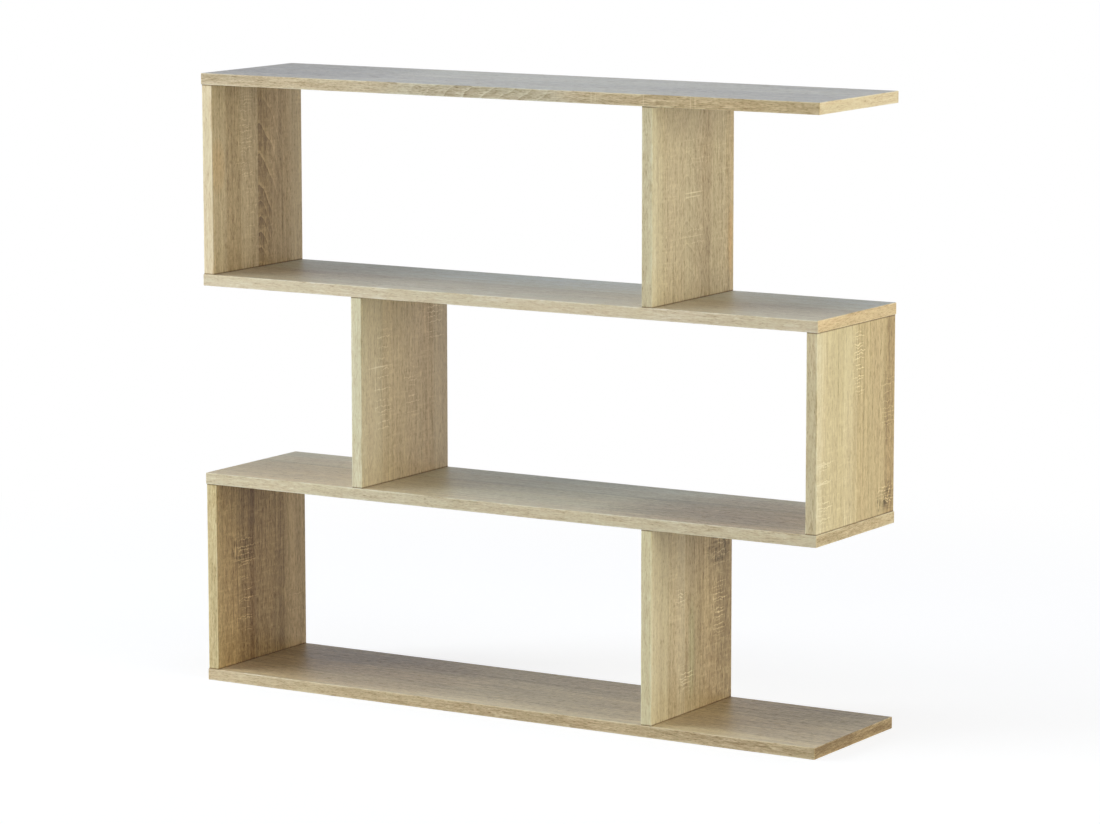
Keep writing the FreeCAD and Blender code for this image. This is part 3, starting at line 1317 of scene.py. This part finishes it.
# The sides' strong stave warmth is partly the print and partly painted warm bounce light inside their bays.
TOP_SIDE = Figure(
    11.0,
    (
        Stave(0, 0.04, 0.39, -0.43), Stave(37, -0.1, 0.55, -0.58, 3), Stave(76, 0.01, 0.34, -0.32, 10),
        Stave(104, -0.06, 0.34, -0.33, 10), Stave(124, -0.22, 0.75, -0.9),
        Stave(152, -0.11, 0.54, -0.38, 30), Stave(212, 0.07, 0.38, -0.32, 24),
    ),
    saw_marks=(Ladder(90, 88, 27, 78, 0.75, 5.5, 2.4, skip=0.0), Ladder(98, 205, 24, 66, 0.4, 6.5, 2.4)),
    warm_patches=(Patch(14, 130, 22, 46, 0.4),),
    flames=(
        Flame(128, 20, 46, 62, 52, 200, 0.8, 124, 1.4), Flame(130, 172, 30, 42, 25, 130, 0.8, 124, 1.4),
    ),
)
TOP_DIVIDER = Figure(
    12.3,
    (
        Stave(0, 0.23, -0.07, -0.03), Stave(13, 0.1, -0.04, 0.01, 12), Stave(26, 0.04, -0.02, 0.01, 12),
        Stave(42, 0.01, -0.08, 0.2, 4), Stave(126, -0.04, -0.07, 0.19, 30),
        Stave(150, -0.11, 0.02, 0.07, 10), Stave(176, -0.06, -0.02, -0.02, 10),
        Stave(222, -0.11, 0.14, -0.17, 4), Stave(236, -0.03, 0.3, -0.05, 3),
    ),
    saw_marks=(Ladder(117, 205, 36, 14, 0.5), Ladder(122, 90, 60, 60, 0.2)),
    warm_patches=(Patch(236, 220, 8, 60, 0.6),),
    scratches=(Scratch(124, 138, 28, 0.9), Scratch(122, 144, 24, 0.7), Scratch(117, 204, 36, 0.5)),
    flames=(Flame(105, 40, 40, 60, 34, 260, 0.35), Flame(42, 178, 9, 40, 22, 70, 0.8)),
)
MIDDLE_DIVIDER = Figure(
    13.9,
    (
        Stave(0, 0.14, -0.08, 0.03), Stave(13, 0.15, -0.04, 0.15, 12), Stave(58, 0.07, 0.13, 0.21, 12),
        Stave(74, 0.05, 0.15, 0.07, 8), Stave(140, 0.03, 0.09, 0.37, 40), Stave(176, -0.03, 0.18, 0.37, 20),
        Stave(206, 0.10, 0.03, 0.43, 8),
    ),
    saw_marks=(
        Ladder(58, 140, 26, 96, 1.0, 9, 2.2), Ladder(203, 60, 30, 40, 1.0, 8, 2.2),
        Ladder(141, 162, 26, 44, 0.9, 8, 2.2),
    ),
    scratches=(Scratch(54, 115, 36, 0.9),),
)
# Its warm staves are partly the print and partly painted warm bounce light.
MIDDLE_SIDE = Figure(
    14.6,
    (
        Stave(0, 0.31, 0.12, -0.16), Stave(13, 0.24, 0.24, -0.36, 12), Stave(26, 0.18, 0.29, -0.58, 8),
        Stave(56, 0.12, 0.33, -0.55, 20), Stave(82, 0.19, 0.25, -0.32, 12), Stave(112, 0.13, 0.4, -0.5, 12),
        Stave(126, 0.05, 0.54, -0.6), Stave(216, -0.17, 0.72, -0.74, 26),
    ),
    saw_marks=(
        Ladder(128, 58, 22, 56, 1.3, 5.5, 2.4, skip=0.0), Ladder(22, 240, 30, 56, 1.4, 6, 2.4),
        Ladder(222, 140, 28, 64, 0.55, 7, 2.2, skip=0.05), Ladder(220, 275, 30, 22, 1.1, 5, 2.4, skip=0.0),
    ),
    knots=(Patch(204, 280, 18, 16, 1.3), Patch(230, 272, 20, 24, 1.5)),
    scratches=(Scratch(16, 198, 24, 1.1), Scratch(18, 226, 24, 1.0)),
)
# Its darker, warmer staves are partly the print and partly painted shade and warm bounce light inside its
# bay.
BOTTOM_SIDE = Figure(
    15.8,
    (
        Stave(0, -0.13, 0.94, -0.9), Stave(12, -0.19, 0.97, -0.9, 10), Stave(40, -0.22, 0.98, -0.86, 20),
        Stave(65, -0.30, 0.96, -0.73, 20), Stave(89, -0.41, 1.1, -0.9, 8), Stave(102, -0.27, 0.87, -0.9),
        Stave(190, -0.07, 0.76, -0.76, 20), Stave(205, -0.02, 0.74, -0.68, 10),
    ),
    saw_marks=(
        Ladder(72, 118, 32, 30, 1.1, 6, 2.4, skip=0.0), Ladder(76, 205, 26, 52, 0.9, 6, 2.4, skip=0.05),
        Ladder(207, 217, 28, 26, 0.5, 8, 2.2),
    ),
    knots=(Patch(72, 115, 36, 30, 1.0),),
    scratches=(Scratch(70, 132, 30, 0.7),),
)
BOTTOM_DIVIDER = Figure(
    17.1,
    (
        Stave(0, 0.22, -0.09, 0.31), Stave(12, 0.16, -0.05, 0.27, 10), Stave(25, 0.07, -0.07, 0.12, 10),
        Stave(51, -0.02, 0, 0.06, 8), Stave(76, 0.03, -0.11, 0.23, 6), Stave(101, -0.09, 0.13, 0.01, 2),
        Stave(136, -0.15, 0.34, -0.3, 40), Stave(176, -0.22, 0.36, -0.35, 40),
        Stave(214, -0.28, 0.37, -0.55, 10),
    ),
    saw_marks=(
        Ladder(87, 112, 20, 24, 0.9, 6, 2.4, skip=0.0), Ladder(206, 150, 25, 56, 0.9, 6, 2.4, skip=0.05),
        Ladder(102, 243, 28, 26, 1.0, 6, 2.4, skip=0.0), Ladder(204, 62, 32, 24, 0.8, 6, 2.4, skip=0.0),
    ),
    knots=(Patch(204, 62, 36, 28, 1.2),),
    olive_patches=(Patch(122, 200, 11, 86, 1.3),),
    scratches=(Scratch(100, 252, 22, 0.7),),
)


def shelves() -> tuple[ShelfPanel, ...]:
    """Put the shelves together from their figures.

    Returns:
        The four shelves from the bottom up.
    """
    return (
        # The right end strips darken from the top shelf down to the bottom one: painted shade.
        ShelfPanel("bottom_shelf", BOTTOM_SHELF, BOTTOM_STRIP, Stave(0, -0.34, 0.2)),
        ShelfPanel("lower_shelf", LOWER_SHELF, LOWER_STRIP, Stave(0, -0.10, 0.06)),
        ShelfPanel("upper_shelf", UPPER_SHELF, UPPER_STRIP, Stave(0, 0.04, 0.42)),
        ShelfPanel("top_shelf", TOP_SHELF, TOP_STRIP, Stave(0, 0.20, 0.2), SMOOTH_OAK),
    )


def uprights() -> tuple[UprightPanel, ...]:
    """Put the uprights together from their figures.

    Returns:
        The six uprights from the bottom up.
    """
    return (
        UprightPanel("bottom_side", BOTTOM_SIDE, Figure(41.0, (Stave(0, 0.01, 0.75, -1.4),))),
        UprightPanel("bottom_divider", BOTTOM_DIVIDER, Figure(42.0, (Stave(0, 0.18, 0.40, -1.0),))),
        UprightPanel("middle_side", MIDDLE_SIDE, Figure(43.0, (Stave(0, 0.05, 0.30, -0.6),))),
        UprightPanel("middle_divider", MIDDLE_DIVIDER, Figure(44.0, (Stave(0, 0.21, 0.20, -0.7),))),
        UprightPanel("top_side", TOP_SIDE, Figure(45.0, (Stave(0, 0.25, 0.45, -0.2),))),
        UprightPanel("top_divider", TOP_DIVIDER, Figure(46.0, (Stave(0, 0.03, 0.15, -0.8),))),
    )


def main() -> None:
    """Dress the bookshelf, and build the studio."""
    logging.basicConfig(level=logging.INFO, format="%(name)s: %(message)s")
    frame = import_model()
    nodes = frame["nodes"]
    for shelf in shelves():
        shelf.dress(nodes)
    finishes = {
        Fitting.CAM: CastZinc().material("cam_zinc"),
        Fitting.BOLT: PlatedSteel().material("bolt_steel"),
        Fitting.DOWEL: TurnedBeech().material("dowel_beech"),
    }
    for upright in uprights():
        upright.dress(nodes, finishes)
        upright.build_pointers(finishes[Fitting.CAM])
    Studio().build()
    bpy.context.view_layer.update()


if __name__ == "__main__":
    main()
